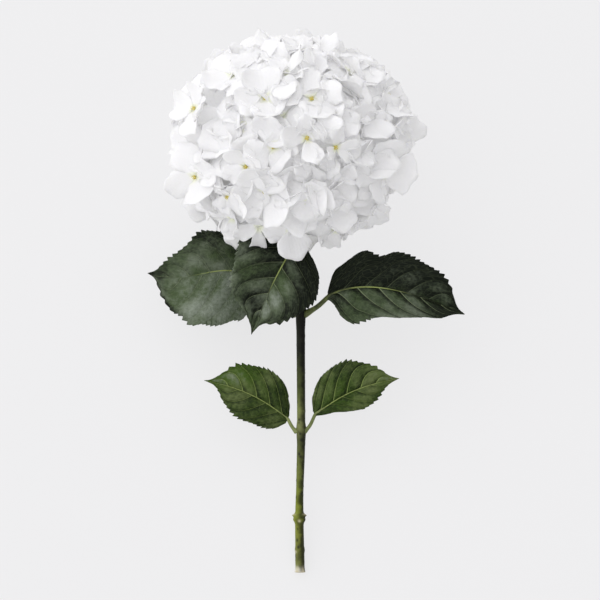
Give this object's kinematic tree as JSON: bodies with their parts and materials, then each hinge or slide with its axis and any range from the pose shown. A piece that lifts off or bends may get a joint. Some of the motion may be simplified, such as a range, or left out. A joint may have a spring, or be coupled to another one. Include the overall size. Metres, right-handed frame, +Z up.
{
  "type": "cut hydrangea",
  "caption": "Cut mophead flower lying on its side: a ball of four-petalled white florets on a straight green stem with broad toothed leaves.",
  "frame": {"origin": "centre of the flower's outline seen from above, on the surface that it lies on", "axes": "+Y along the stem from the cut end to the head, +Z up from the surface, +X across"},
  "size_m": [0.239, 0.3984, 0.1745],
  "materials": {
    "petal": "soft, matt and slightly translucent",
    "leaf_upper": "dark green, satin, with paler veins",
    "leaf_lower": "mid green, satin, with yellow-green veins",
    "stem": "green bark, dull, with fine pores"
  },
  "bodies": {
    "root": {"stem": "stem", "leaf_upper_right": "leaf_upper", "leaf_upper_left": "leaf_upper", "leaf_front": "leaf_upper", "leaf_lower_left": "leaf_lower", "leaf_lower_right": "leaf_lower", "bloom": "petal"}
  },
  "joints": []
}
